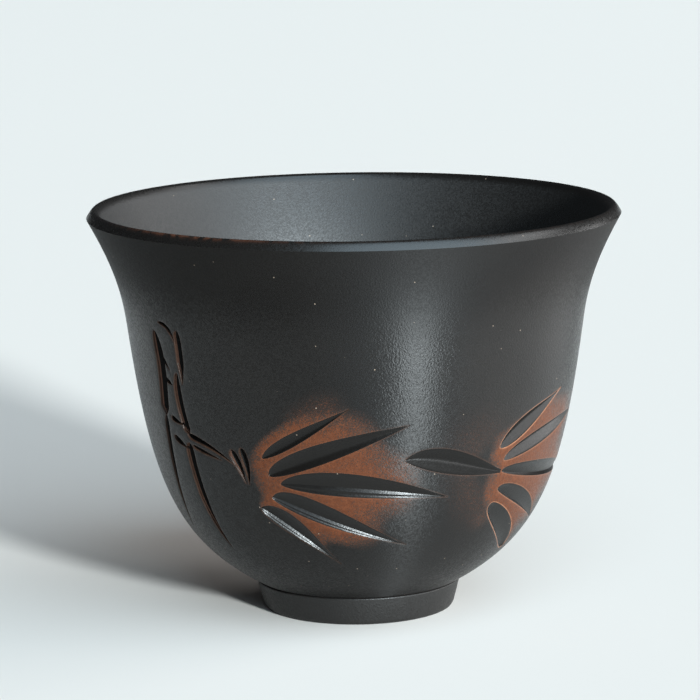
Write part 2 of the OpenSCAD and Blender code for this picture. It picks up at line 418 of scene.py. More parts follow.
STROKES = [
    Stroke([(-58.2, 42.2), (-56.6, 38.8), (-57.3, 33.5), (-58.6, 30.2)], 1.5, 1.0, 0.3, 0.1, 0.4),
    Stroke([(-58.5, 30.4), (-60.2, 24.7), (-62.8, 18.1), (-65.8, 13.8)], 0.95, 0.75, 0.1, 0.6, 0.1),
    Stroke([(-48.3, 42.8), (-48.0, 39.4), (-48.5, 35.3)], 1.0, 0.85, 0.2, 0.4, 0.25),
    Stroke([(-50.4, 36.8), (-50.5, 32.5), (-48.9, 28.2)], 1.1, 0.95, 0.4, 0.1, 0.35),
    Stroke([(-49.8, 27.1), (-49.5, 22.0), (-48.4, 16.5), (-46.6, 12.0)], 1.2, 1.0, 0.1, 0.5, 0.35),
    Stroke([(-55.3, 43.5), (-52.4, 43.2), (-49.7, 41.0)], 0.5, 0.5, 0.3, 0.4, 0.1),
    Stroke([(-55.6, 38.7), (-53.2, 37.0)], 0.5, 0.6, 0.2, 0.7, 0.1),
    Stroke([(-55.9, 35.8), (-52.8, 34.9)], 0.55, 0.6, 0.2, 0.5, 0.1),
    Stroke([(-56.2, 30.3), (-50.6, 29.4)], 0.7, 0.6, 0.2, 0.7, 0.1),
    Stroke([(-56.4, 27.6), (-51.0, 26.2)], 0.8, 0.6, 0.2, 0.6, 0.1),
    Stroke([(-49.8, 28.2), (-45.4, 27.7), (-34.7, 25.1)], 0.85, 0.8, 0.1, 0.8, 0.1),
    Stroke([(-48.6, 26.8), (-38.6, 25.4)], 0.5, 0.38, 0.2, 0.6, 0.1),
    Stroke([(-34.7, 27.1), (-32.7, 25.0), (-31.5, 22.5)], 0.9, 0.7, 0.2, 0.6, 0.3),
    Stroke([(-31.5, 27.5), (-30.5, 25.6), (-30.5, 22.3)], 0.9, 0.8, 0.2, 0.6, 0.1),
]

# Depth shares across a stroke's core, from its left edge to its right one, without and with a slope
# beside it, and the lines along the core and the slope that carry points
SLOPE_FOOT = 0.3
CORE = ([-1, -0.85, -0.5, 0.5, 0.85, 1], [0, 0.75, 1, 1, 0.75, 0])
CORE_BY_SLOPE = ([-1, -0.7, -0.3, 0.5, 0.85, 1], [SLOPE_FOOT, 0.75, 1, 1, 0.75, 0])
CORE_LINES = (0.85, 0.5, 0.1, -0.3, -0.7)
SLOPE_LINES = (0.0, 0.15, 0.6)

SLOPED_BANK = 0.15     # width above which a bank slopes
MIN_HALF = 0.03        # least half width of a core
MIN_BANK = 0.02        # least width of a bank
MIN_POINTS = 10        # fewest points of a path
END_TAPER = 0.8        # how the end narrows: 0 is square, 1 is straight to a point
STROKE_WORN = 0.12     # how worn the coat is along the stroke
NEAR_STROKE = 2.0      # how far round the path points are looked for
BESIDE_PATH = 0.15     # how far ahead of or behind a path point they may lie
# Painted shade: the grooves' floor and right wall are painted black where they lie in shadow
SHADE_BY_SLOPE = 0.02  # how far the painted shade on the groove's floor goes past the core's left edge where there is a slope
SHADE_LEFT = 0.2       # how far where there is none
SHADE_RIGHT = 0.1      # how far the painted shade goes past the right edge, up the right wall


class StrokeShape:
    """A stroke's smooth path, outline and depth in unrolled coordinates."""

    def __init__(self, stroke):
        self.stroke = stroke
        self.kind = GROOVE
        self.worn = STROKE_WORN
        self.sloped = stroke.bank > SLOPED_BANK
        knots = unrolled(stroke.points)
        chord = lengths(knots)
        where = np.linspace(0, chord[-1], max(int(chord[-1] / CARVE_STEP), MIN_POINTS))
        curves = [np.polyfit(chord, knots[:, k], len(knots) - 1) for k in (0, 1)]
        self.path = np.stack([np.polyval(curve, where) for curve in curves], -1)
        way = np.gradient(self.path, axis=0)
        self.way = way / np.linalg.norm(way, axis=1)[:, None]
        self.right = np.stack([-self.way[:, 1], self.way[:, 0]], -1)
        t = where / chord[-1]
        start = np.clip(t / stroke.start, 0, 1)
        end = np.clip((1 - t) / stroke.end, 0, 1)
        self.taper = np.sqrt(start * (2 - start)) * end ** END_TAPER
        self.half = np.maximum(stroke.width / 2 * self.taper, MIN_HALF)
        self.bank = stroke.bank * self.taper

    def line(self, core, bank=0.0):
        """The path moved sideways by shares of the core's half width and of the bank."""
        return self.path + self.right * (self.half * core - self.bank * bank)[:, None]

    def outline(self):
        """The stroke's edge, bank included."""
        return np.concatenate([self.line(-1, 1), self.line(1)[::-1]])

    def inner(self):
        """Points inside the outline, with no leaf's depth and no runs."""
        lines = [self.line(core) for core in CORE_LINES]
        if self.sloped:
            lines += [self.line(-1, bank) for bank in SLOPE_LINES]
        return np.concatenate(lines), 0.0, []

    def across(self, points):
        """The points beside the path: which they are, their place on it, and how far right they lie."""
        low, high = self.path.min(0) - NEAR_STROKE, self.path.max(0) + NEAR_STROKE
        near = np.nonzero((points >= low).all(1) & (points <= high).all(1))[0]
        gaps = ((points[near][:, None, :] - self.path[None]) ** 2).sum(2)
        spot = gaps.argmin(1)
        offset = points[near] - self.path[spot]
        beside = np.abs((offset * self.way[spot]).sum(1)) < BESIDE_PATH
        return near[beside], spot[beside], (offset * self.right[spot]).sum(1)[beside]

    def depth_at(self, points):
        """How deep the stroke is cut at each point."""
        depth = np.zeros(len(points))
        near, spot, side = self.across(points)
        half, bank = self.half[spot], self.bank[spot]
        core = np.interp(side / half, *(CORE_BY_SLOPE if self.sloped else CORE), 0, 0)
        if self.sloped:
            drop = (side + half + bank) / np.maximum(bank, MIN_BANK)
            core = np.where(side < -half, SLOPE_FOOT * np.clip(drop, 0, 1), core)
        depth[near] = self.stroke.depth * np.sqrt(self.taper[spot]) * core
        return depth

    def shade_at(self, points):
        """Where shade is painted black on the stroke's floor and right wall: 1 on it and 0 off it."""
        core = np.zeros(len(points))
        near, spot, side = self.across(points)
        left = self.half[spot] + (SHADE_BY_SLOPE if self.sloped else SHADE_LEFT)
        core[near] = (side > -left) & (side < self.half[spot] + SHADE_RIGHT)
        return core


leaf_shapes = [LeafShape(leaf, LEFT) for leaf in LEFT_LEAVES]
leaf_shapes += [LeafShape(leaf, RIGHT) for leaf in RIGHT_LEAVES]
stroke_shapes = [StrokeShape(stroke) for stroke in STROKES]
shapes = leaf_shapes + stroke_shapes


# Unrolled sheet

# The carved part of the wall has a fine mesh: its lowest and highest azimuth and height
FINE_LOW = (-78, 8.0)
FINE_HIGH = (90, 46.0)
fine_u, fine_s = unrolled([FINE_LOW, FINE_HIGH]).T

ROW_SHARE = 0.87   # distance between rows of the field, as a share of its step
EDGE_RING = 0.2    # distance from an outline to the ring of points round it
FIELD_CLEAR = 0.3  # how far the field stays from the rings
RING_CLEAR = 0.1   # how far a ring stays from other outlines
EDGE_DIP = 0.05    # how far the coat's edge dips at an outline
BLOCK = 64         # samples that are compared at once


def inside(points, outline):
    """Which points lie inside a closed outline."""
    hit = np.zeros(len(points), bool)
    for a, b in zip(outline, np.roll(outline, -1, axis=0)):
        if a[1] != b[1]:
            spans = (a[1] > points[:, 1]) != (b[1] > points[:, 1])
            cross = (b[0] - a[0]) * (points[:, 1] - a[1]) / (b[1] - a[1]) + a[0]
            hit ^= spans & (points[:, 0] < cross)
    return hit


def nearest(points, samples):
    """Distance from each point to the closest sample."""
    best = np.full(len(points), np.inf)
    for start in range(0, len(samples), BLOCK):
        gap = points[:, None, :] - samples[None, start:start + BLOCK, :]
        best = np.minimum(best, np.sqrt((gap ** 2).sum(2)).min(1))
    return best


def offset_ring(outline, distance):
    """An outline that runs anticlockwise, moved outwards."""
    way = np.roll(outline, -1, axis=0) - np.roll(outline, 1, axis=0)
    way /= np.maximum(np.linalg.norm(way, axis=1)[:, None], MIN_LENGTH)
    return outline + distance * np.stack([way[:, 1], -way[:, 0]], -1)


def grid(u_low, u_high, s_low, s_high, step):
    """A field of points in staggered rows."""
    rows = np.arange(s_low + step / 2, s_high, step * ROW_SHARE)
    points = []
    for k, s in enumerate(rows):
        u = np.arange(u_low + step * (0.25 + 0.5 * (k % 2)), u_high, step)
        points.append(np.stack([u, np.full(len(u), s)], -1))
    return np.concatenate(points)


def plain_wall(outlines):
    """Points of the wall between the outlines, and a ring of points round each outline."""
    rings = [offset_ring(outline, EDGE_RING) for outline in outlines]
    field = np.concatenate([
        grid(*fine_u, *fine_s, FINE_STEP),
        grid(*fine_u, 0, fine_s[0], COARSE_STEP),
        grid(*fine_u, fine_s[1], WALL_LENGTH, COARSE_STEP),
        grid(-HALF_TURN, fine_u[0], 0, WALL_LENGTH, COARSE_STEP),
        grid(fine_u[1], HALF_TURN, 0, WALL_LENGTH, COARSE_STEP),
    ])
    field = field[nearest(field, np.concatenate(rings)) > FIELD_CLEAR]
    for k, outline in enumerate(outlines):
        field = field[~inside(field, outline)]
        for j in range(len(rings)):
            if j != k:
                rings[j] = rings[j][~inside(rings[j], outline)]
                rings[j] = rings[j][nearest(rings[j], outline) > RING_CLEAR]
    return [field, *rings]


def border():
    """Points round the edge of the sheet."""
    turn = np.linspace(-HALF_TURN, HALF_TURN, SEGMENTS + 1)
    side = np.linspace(0, WALL_LENGTH, int(WALL_LENGTH / COARSE_STEP) + 1)[1:-1]
    return np.concatenate([
        np.stack([turn, np.zeros_like(turn)], -1),
        np.stack([turn, np.full_like(turn, WALL_LENGTH)], -1),
        np.stack([np.full_like(side, -HALF_TURN), side], -1),
        np.stack([np.full_like(side, HALF_TURN), side], -1),
    ])


def close_turn(points, faces):
    """Faces in which the sheet's right border is its left one."""
    right = np.nonzero(points[:, 0] > HALF_TURN - TOUCHING)[0]
    left = np.nonzero(points[:, 0] < -HALF_TURN + TOUCHING)[0]
    same = np.arange(len(points))
    same[right[np.argsort(points[right, 1])]] = left[np.argsort(points[left, 1])]
    return same[faces]


def build_sheet():
    """Triangulates the unrolled outer wall with the leaf and stroke outlines as edges."""
    coords, depths, loops, kinds, edges = [], [], [], [], []

    def add(points, depth=0.0):
        first = sum(len(block) for block in coords)
        coords.append(points)
        depths.append(np.broadcast_to(depth, len(points)).astype(float))
        return first

    outlines = [shape.outline() for shape in shapes]
    for shape, outline in zip(shapes, outlines):
        first = add(outline)
        loops.append(list(range(first, first + len(outline))))
        kinds.append(shape.kind)
        points, depth, runs = shape.inner()
        first = add(points, depth)
        for run in runs:
            edges += [(first + int(a), first + int(b)) for a, b in zip(run[:-1], run[1:])]
    for points in plain_wall(outlines):
        add(points)
    add(border())

    given = [Vector(p) for p in np.concatenate(coords)]
    given_depth = np.concatenate(depths)
    found = delaunay_2d_cdt(given, edges, loops, 0, MERGING, True)
    points, _, faces, from_points, _, from_loops = found
    points = np.array([tuple(p) for p in points])
    depth = np.array([given_depth[ids[0]] if ids else 0.0 for ids in from_points])
    label = np.array([min((kinds[i] for i in ids), default=COAT) for ids in from_loops])
    faces = close_turn(points, np.array([tuple(f) for f in faces]))
    return points, faces, label, depth


def border_edges(faces):
    """Directed edges that only one face uses."""
    pairs = np.concatenate([faces[:, [0, 1]], faces[:, [1, 2]], faces[:, [2, 0]]])
    size = pairs.max() + 1
    forward = pairs[:, 0] * size + pairs[:, 1]
    backward = pairs[:, 1] * size + pairs[:, 0]
    return pairs[~np.isin(forward, backward)]


def used(indices):
    """Which points of the sheet the indices name."""
    mask = np.zeros(len(sheet), bool)
    mask[indices.ravel()] = True
    return mask


sheet, sheet_faces, sheet_label, leaf_depth = build_sheet()
sheet_az = sheet[:, 0] / UNROLL_R
sheet_s = sheet[:, 1]
groove_depth = np.max([shape.depth_at(sheet) for shape in stroke_shapes], axis=0)
# Painted shade: where the grooves' floor and right wall are painted black
groove_shade_mask = np.max([shape.shade_at(sheet) for shape in stroke_shapes], axis=0)

coat_faces = sheet_faces[sheet_label == COAT]
on_end = (sheet_s < TOUCHING) | (sheet_s > WALL_LENGTH - TOUCHING)
on_outline = used(border_edges(coat_faces)) & ~on_end
edge_dip = np.where(on_outline, EDGE_DIP, 0.0)


# Masks painted on the coat

def worn_edges():
    """How worn the coat is along each outline."""
    worn = np.zeros(len(sheet))
    index = np.nonzero(on_outline)[0]
    best = np.full(len(index), np.inf)
    for shape in shapes:
        gap = nearest(sheet[index], shape.outline())
        worn[index[gap < best]] = shape.worn
        best = np.minimum(best, gap)
    return worn


def rubbed():
    """How far the slip is rubbed back, from 0 to 1."""
    total = np.linalg.norm([shape.halo(sheet) for shape in leaf_shapes], axis=0)
    for azimuth, z, reach, strength in HAZE:
        gap = np.linalg.norm(sheet - unrolled([(azimuth, z)]), axis=1) / reach
        total += strength * np.exp(-gap ** 2)
    return np.clip(total, 0, 1)


sheet_worn = worn_edges()
sheet_rub = rubbed()


# Materials

class Nodes:
    """A short way to write a node tree."""

    def __init__(self, name):
        self.material = bpy.data.materials.new(name)
        self.material.use_nodes = True
        self.tree = self.material.node_tree
        self.shader = self.tree.nodes["Principled BSDF"]
        self.coords = self.tree.nodes.new("ShaderNodeTexCoord").outputs["Object"]

    def put(self, socket, value):
        """Links a socket, or sets its value."""
        if isinstance(value, bpy.types.NodeSocket):
            self.tree.links.new(value, socket)
        elif isinstance(value, tuple):
            socket.default_value = (*value, 1.0)
        else:
            socket.default_value = value

    def set(self, name, value):
        """Links or sets an input of the shader."""
        self.put(self.shader.inputs[name], value)

    def texture(self, kind, size):
        """A texture with features of a size in millimetres."""
        node = self.tree.nodes.new(kind)
        self.put(node.inputs["Vector"], self.coords)
        self.put(node.inputs["Scale"], 1 / (size * MM))
        return node

    def noise(self, size, detail=2.0, rough=0.5):
        """Noise, from 0 to 1."""
        node = self.texture("ShaderNodeTexNoise", size)
        self.put(node.inputs["Detail"], detail)
        self.put(node.inputs["Roughness"], rough)
        return node.outputs["Fac"]

    def cells(self, size):
        """Cells: the distance from each one's point, and its random values."""
        node = self.texture("ShaderNodeTexVoronoi", size)
        pick = self.tree.nodes.new("ShaderNodeSeparateColor")
        self.put(pick.inputs["Color"], node.outputs["Color"])
        return node.outputs["Distance"], pick.outputs

    def height(self):
        """Height above the table, in metres."""
        node = self.tree.nodes.new("ShaderNodeSeparateXYZ")
        self.put(node.inputs["Vector"], self.coords)
        return node.outputs["Z"]

    def ramp(self, value, low, high, to_low=0.0, to_high=1.0):
        """A smooth step between two values."""
        node = self.tree.nodes.new("ShaderNodeMapRange")
        node.interpolation_type = "SMOOTHSTEP"
        for name, item in zip(("Value", "From Min", "From Max", "To Min", "To Max"),
                              (value, low, high, to_low, to_high)):
            self.put(node.inputs[name], item)
        return node.outputs["Result"]

    def math(self, kind, *values):
        node = self.tree.nodes.new("ShaderNodeMath")
        node.operation = kind
        for socket, value in zip(node.inputs, values):
            self.put(socket, value)
        return node.outputs[0]

    def mix(self, share, a, b):
        node = self.tree.nodes.new("ShaderNodeMix")
        node.data_type = "RGBA"
        self.put(node.inputs["Factor"], share)
        self.put(node.inputs["A"], a)
        self.put(node.inputs["B"], b)
        return node.outputs["Result"]

    def attribute(self, name):
        """A mask of the mesh."""
        node = self.tree.nodes.new("ShaderNodeAttribute")
        node.attribute_name = name
        return node.outputs["Fac"]

    def turned(self):
        """Tangents that run round the axis."""
        node = self.tree.nodes.new("ShaderNodeTangent")
        node.direction_type = "RADIAL"
        node.axis = "Z"
        self.set("Tangent", node.outputs["Tangent"])

    def bump(self, height, depth, strength=1.0):
        """Bump of a depth in metres."""
        node = self.tree.nodes.new("ShaderNodeBump")
        self.put(node.inputs["Strength"], strength)
        self.put(node.inputs["Distance"], depth)
        self.put(node.inputs["Height"], height)
        self.set("Normal", node.outputs["Normal"])


BLACK_LOW = (0.0050, 0.0043, 0.0039)
BLACK_HIGH = (0.0067, 0.0058, 0.0052)
RED_LOW = (0.083, 0.0265, 0.0120)
RED_HIGH = (0.110, 0.0365, 0.0165)
CUT_LOW = (0.100, 0.050, 0.035)
CUT_HIGH = (0.140, 0.072, 0.050)
HAZE_BROWN = (0.030, 0.0165, 0.0115)
WORN_EDGE = (0.30, 0.135, 0.075)
SPECK = (0.22, 0.17, 0.13)
LIP_BROWN = (0.10, 0.036, 0.019)

NOISE_SPAN = (0.3, 0.7)  # middle span of a noise's values
FINE_NOISE = 0.6         # roughness of a fine noise

# Slip
CLOUD_SIZE = 14.0  # of its changes of colour
GLINT_SIZE = 0.22  # of its glinting grains
BUMP_SIZE = 0.24
SPECK_CELL = 1.3   # size of the cells that may hold a pale speck
SPECK_R = 0.09     # radius of a speck, as a share of its cell
SPECK_FROM = 0.86  # random value above which a cell has a speck

# Rubbed slip, with the spans of rubbing over which each effect comes in
STIPPLE_SIZE = 0.18
STIPPLE = 3.0               # contrast of the stipple
PATCH_SIZE = 1.8
PATCHES = (-0.2, 0.12)      # most that the patches take off and add
MOTTLE_SIZE = 0.5           # of the red's changes of colour
RUB_PATCHES = (0.2, 0.5)    # the patches
RUB_BROWN = (0.05, 0.5)     # slip that turns brown
RUB_STIPPLED = (0.15, 1.0)  # the stipple of red
RUB_RED = (0.04, 0.34)      # any red at all

# Worn edges
WEAR_SIZE = 1.2
WEAR_NOISE = (0.25, 0.55)
WEAR_LEAST = 0.4

# The coat's burnish, which dulls towards the lip and the foot between two heights in metres
BURNISH = 0.92
BURNISH_TURN = 0.25  # direction of its grain, as a share of a full turn
COAT_GLOSS = 0.39
LIP_DULL = (40.0 * MM, 55.0 * MM)
LIP_GLOSS = 0.72     # share of the gloss that is left by the lip
LIP_ROUGHER = 0.44   # roughness that is added by the lip
FOOT_DULL = (9.0 * MM, 27.0 * MM)
FOOT_GLOSS = 0.68    # share of the gloss that is left by the foot

# Inside and lip
INSIDE_BUMPS = 0.02 * MM
LIP_BUMPS = 0.009 * MM
LIP_SMOOTH = 0.52          # share of the roughness that is left on the lip
LIP_PATCH_SIZE = 1.0       # of the worn patches on its edge
LIP_PATCHES = (0.35, 0.6)  # span of their noise

# Bare clay
CLAY_GRAIN = 0.3
CLAY_GLOSS = 0.15
CLAY_ROUGH = (0.75, 0.9)
CLAY_BUMPS = 0.03 * MM
CLAY_BUMP_STRENGTH = 0.6


def start_slip(name, rough, gloss):
    """Satin black slip with glinting grains: its nodes, colour and roughness."""
    n = Nodes(name)
    color = n.mix(n.ramp(n.noise(CLOUD_SIZE), *NOISE_SPAN), BLACK_LOW, BLACK_HIGH)
    glint = n.cells(GLINT_SIZE)[1]["Green"]
    n.set("Specular IOR Level", gloss)
    return n, color, n.ramp(glint, 0.0, 1.0, *rough)


def finish_slip(n, color, rough, bumps):
    """Adds the specks and the bumps of the slip."""
    distance, values = n.cells(SPECK_CELL)
    dot = n.ramp(distance, SPECK_R, SPECK_R / 2)
    speck = n.math("MULTIPLY", dot, n.math("GREATER_THAN", values["Red"], SPECK_FROM))
    n.set("Base Color", n.mix(speck, color, SPECK))
    n.set("Roughness", rough)
    n.bump(n.noise(BUMP_SIZE, detail=1.0, rough=FINE_NOISE), bumps)
    return n.material


def plain_slip(name, rough, gloss, bumps):
    """Slip as it was laid on."""
    n, color, rough = start_slip(name, rough, gloss)
    return finish_slip(n, color, rough, bumps)


def rub_back(n, color):
    """Rubs slip back to red clay by the mesh's masks: its colour, and how bare the clay is."""
    rub = n.attribute("rub")
    stipple = n.math("MULTIPLY_ADD", n.noise(STIPPLE_SIZE, rough=FINE_NOISE), STIPPLE, -STIPPLE / 2)
    patches = n.ramp(n.noise(PATCH_SIZE, detail=3.0, rough=FINE_NOISE), *NOISE_SPAN, *PATCHES)
    uneven = n.math("ADD", rub, n.math("MULTIPLY", patches, n.ramp(rub, *RUB_PATCHES)))
    stippled = n.ramp(n.math("ADD", uneven, stipple), *RUB_STIPPLED)
    bare = n.math("MULTIPLY", stippled, n.ramp(uneven, *RUB_RED))
    brown = n.mix(n.ramp(rub, *RUB_BROWN), color, HAZE_BROWN)
    mottle = n.noise(MOTTLE_SIZE, detail=3.0, rough=FINE_NOISE)
    red = n.mix(n.ramp(mottle, *NOISE_SPAN), RED_LOW, RED_HIGH)
    wear = n.ramp(n.noise(WEAR_SIZE), *WEAR_NOISE, WEAR_LEAST, 1.0)
    worn = n.math("MULTIPLY", n.attribute("worn"), wear)
    return n.mix(worn, n.mix(bare, brown, red), WORN_EDGE), bare


def coat_slip():
    """The outer coat, burnished round the axis and rubbed back to red clay round the leaves."""
    n, color, rough = start_slip("black_slip_rubbed", rough=(0.31, 0.47), gloss=COAT_GLOSS)
    color, bare = rub_back(n, color)
    z = n.height()
    by_lip = n.ramp(z, *LIP_DULL, 1.0, LIP_GLOSS)
    by_foot = n.ramp(z, *FOOT_DULL, FOOT_GLOSS, 1.0)
    gloss = n.ramp(bare, 0.0, 1.0, COAT_GLOSS, CLAY_GLOSS)
    n.set("Specular IOR Level", n.math("MULTIPLY", n.math("MULTIPLY", by_lip, by_foot), gloss))
    n.set("Anisotropic", BURNISH)
    n.set("Anisotropic Rotation", BURNISH_TURN)
    n.turned()
    rough = n.math("ADD", rough, n.ramp(z, *LIP_DULL, 0.0, LIP_ROUGHER))
    return finish_slip(n, color, rough, bumps=0.032 * MM)


def inside_slip():
    """The inner coat, smoother on the lip and worn to brown along a stretch of the lip's edge."""
    n, color, rough = start_slip("black_slip_inside", rough=(0.5, 0.66), gloss=0.76)
    lip = n.attribute("lip")
    patches = n.ramp(n.noise(LIP_PATCH_SIZE, detail=3.0), *LIP_PATCHES)
    color = n.mix(n.math("MULTIPLY", n.attribute("worn"), patches), color, LIP_BROWN)
    rough = n.math("MULTIPLY", rough, n.ramp(lip, 0.0, 1.0, 1.0, LIP_SMOOTH))
    return finish_slip(n, color, rough, n.ramp(lip, 0.0, 1.0, INSIDE_BUMPS, LIP_BUMPS))


def red_clay():
    """Bare red clay, with shade painted in the slip's black on the grooves' floor."""
    n = Nodes("red_clay")
    grain = n.noise(CLAY_GRAIN, detail=3.0, rough=FINE_NOISE)
    red = n.mix(n.ramp(grain, *NOISE_SPAN), CUT_LOW, CUT_HIGH)
    # The grooves' floor and right wall are painted the slip's black as shade
    n.set("Base Color", n.mix(n.attribute("groove_shade"), red, BLACK_LOW))
    n.set("Roughness", n.ramp(grain, *NOISE_SPAN, *CLAY_ROUGH))
    n.set("Specular IOR Level", CLAY_GLOSS)
    n.bump(grain, CLAY_BUMPS, CLAY_BUMP_STRENGTH)
    return n.material


coat_material = coat_slip()
inside_material = inside_slip()
leaf_material = plain_slip("black_slip_leaf", rough=(0.28, 0.36), gloss=0.24, bumps=0.015 * MM)
foot_material = plain_slip("black_slip_foot", rough=(0.44, 0.62), gloss=0.45, bumps=0.04 * MM)
clay_material = red_clay()


# Pieces

# Wear of the lip's edge
LIP_WEAR_AT = -37      # azimuth in degrees where it is most worn
LIP_WEAR_SPAN = 17     # how far round that goes, in degrees
LIP_WEAR_STEP = 11.5   # step of the lip's curve that is most worn
LIP_WEAR_WIDTH = 3.5   # how far that goes, in steps
LIP_WEAR_ROUND = 0.03  # wear all round


def add_object(name, data):
    """A new object in the scene."""
    thing = bpy.data.objects.new(name, data)
    bpy.context.scene.collection.objects.link(thing)
    return thing


def make_piece(name, points, faces, material, masks=None, crease=CREASE):
    """A closed mesh in place of the CAD node of the same name."""
    mesh = bpy.data.meshes.new(name)
    mesh.from_pydata((np.asarray(points) * MM).tolist(), [], [tuple(map(int, f)) for f in faces])
    for key, values in (masks or {}).items():
        mesh.attributes.new(key, "FLOAT", "POINT").data.foreach_set("value", values.astype(np.float32))
    mesh.shade_smooth()
    mesh.set_sharp_from_angle(angle=math.radians(crease))
    mesh.materials.append(material)
    piece = add_object(name, mesh)
    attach(piece, BODY)
    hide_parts(name.replace("_look", ""))


def thicken(faces, outer, inner):
    """A closed shell between two copies of a sheet; also which sheet point each vertex came from."""
    mask = used(faces)
    index = np.cumsum(mask) - 1
    count = int(mask.sum())
    top = index[faces]
    low = top[:, ::-1] + count
    sides = [(b, a, a + count, b + count) for a, b in index[border_edges(faces)]]
    points = np.concatenate([outer[mask], inner[mask]])
    source = np.tile(np.nonzero(mask)[0], 2)
    return points, [*top, *low, *sides], source


def ring_of(r, z, azimuths):
    """Points round the axis."""
    return [(r * math.sin(a), -r * math.cos(a), z) for a in azimuths]


def revolve(path):
    """A closed path of radius and height turned round the axis."""
    turn = np.linspace(-math.pi, math.pi, SEGMENTS, endpoint=False)
    points, rings = [], []
    for r, z in path:
        if r < ON_AXIS:
            rings.append([len(points)] * SEGMENTS)
            points.append((0.0, 0.0, z))
        else:
            rings.append(list(range(len(points), len(points) + SEGMENTS)))
            points += ring_of(r, z, turn)
    faces = []
    for low, high in zip(rings, rings[1:] + rings[:1]):
        for k in range(SEGMENTS):
            j = (k + 1) % SEGMENTS
            ring = [low[k], low[j], high[j], high[k]]
            face = [v for i, v in enumerate(ring) if v != ring[i - 1]]
            if len(face) > 2:
                faces.append(tuple(face))
    return points, faces


def rolled(depth):
    """The sheet's points rolled round the cup and sunk into its wall."""
    lean = np.interp(sheet_s, wall_s, wall_lean)
    r = radius_at(sheet_s) - depth * np.cos(lean)
    z = np.interp(sheet_s, wall_s, wall_points[:, 1]) + depth * np.sin(lean)
    return np.stack([r * np.sin(sheet_az), -r * np.cos(sheet_az), z], -1)


def coat_piece():
    points, faces, source = thicken(coat_faces, rolled(edge_dip), rolled(COAT_T))
    masks = {"rub": sheet_rub[source], "worn": sheet_worn[source]}
    make_piece("outer_slip_look", points, faces, coat_material, masks=masks)


def leaf_piece(name, label):
    outer, inner = rolled(leaf_depth + edge_dip), rolled(leaf_depth + COAT_T)
    points, faces, _ = thicken(sheet_faces[sheet_label == label], outer, inner)
    make_piece(name, points, faces, leaf_material, crease=LEAF_CREASE)


def bowl_piece():
    wall = rolled(np.maximum(leaf_depth + COAT_T, groove_depth))
    mask = used(sheet_faces)
    index = np.cumsum(mask) - 1
    points = [tuple(p) for p in wall[mask]]
    faces = [tuple(f) for f in index[sheet_faces]]

    def close(s, path, flip):
        """Runs rings on from the sheet's end at an arc length, along a path that ends on the axis."""
        ids = np.nonzero(mask & (np.abs(sheet_s - s) < TOUCHING))[0]
        ids = ids[np.argsort(sheet_az[ids])]
        ring = list(index[ids])
        for r, z in path[:-1]:
            start = len(points)
            points.extend(ring_of(r, z, sheet_az[ids]))
            new = list(range(start, start + len(ring)))
            for k in range(len(ring)):
                j = (k + 1) % len(ring)
                quad = (ring[k], ring[j], new[j], new[k])
                faces.append(quad[::-1] if flip else quad)
            ring = new
        points.append((0.0, 0.0, path[-1][1]))
        for k in range(len(ring)):
            fan = (ring[k], ring[(k + 1) % len(ring)], len(points) - 1)
            faces.append(fan[::-1] if flip else fan)

    close(WALL_LENGTH, sunk(inside_curve, COAT_T), False)
    close(0.0, [(RECESS_R, RECESS_H), (0.0, RECESS_H)], True)
    # Painted shade on the grooves' floor, read by the clay material
    groove_shade = np.zeros(len(points))
    groove_shade[:int(mask.sum())] = groove_shade_mask[mask]
    make_piece("bowl_look", points, faces, clay_material, {"groove_shade": groove_shade})


def inner_piece():
    path = np.concatenate([inside_curve[0], sunk(inside_curve, COAT_T)[::-1]])
    points, faces = revolve(path)
    points = np.array(points)
    step = np.repeat(np.arange(len(path)), np.where(path[:, 0] < ON_AXIS, 1, SEGMENTS))
    lip = (step <= LIP_STEPS).astype(float)
    turn = np.degrees(np.arctan2(points[:, 0], -points[:, 1]))
    across = np.exp(-((step - LIP_WEAR_STEP) / LIP_WEAR_WIDTH) ** 2)
    along = np.exp(-((turn - LIP_WEAR_AT) / LIP_WEAR_SPAN) ** 2)
    worn = across * (LIP_WEAR_ROUND + (1 - LIP_WEAR_ROUND) * along)
    make_piece("inner_slip_look", points, faces, inside_material, masks={"lip": lip, "worn": worn})


def rounded(*path):
    """A closed path through points (radius, height, rounding), each rounded by a short curve."""
    places = [np.array(point[:2], float) for point in path]
    out = []
    for k, corner in enumerate(places):
        rounding = path[k][2]
        if rounding == 0:
            out.append(corner)
            continue
        before = places[k - 1] - corner
        after = places[(k + 1) % len(places)] - corner
        a = corner + before / np.linalg.norm(before) * rounding
        b = corner + after / np.linalg.norm(after) * rounding
        for t in np.linspace(0, 1, ROUND_STEPS):
            out.append(a * (1 - t) ** 2 + 2 * corner * t * (1 - t) + b * t ** 2)
    return out


def foot_side(z):
    """Radius of the foot's outer face, coat included."""
    return FOOT_BOTTOM_R + (FOOT_TOP_R - FOOT_BOTTOM_R) * z / LEDGE_Z


def recess_side(z):
    """Radius of the recess in the foot, coat left out."""
    return RECESS_R + RECESS_DRAFT * (1 - z / (RECESS_H - LUTE_T))


def seat_z(r):
    """Height of the cone under the bowl, which the foot seats on."""
    return RECESS_H + (body_seat[1] - RECESS_H) * (r - RECESS_R) / (body_seat[0] - RECESS_R)


# The foot's clay: where its ledge ends, and where its side meets the bevel and the ledge
ledge_r = foot_side(LEDGE_Z) - COAT_T - FOOT_LEDGE
clay_bevel = (foot_side(FOOT_EDGE) - COAT_T, FOOT_EDGE, 0)
clay_ledge = (foot_side(LEDGE_Z) - COAT_T, LEDGE_Z, 0)


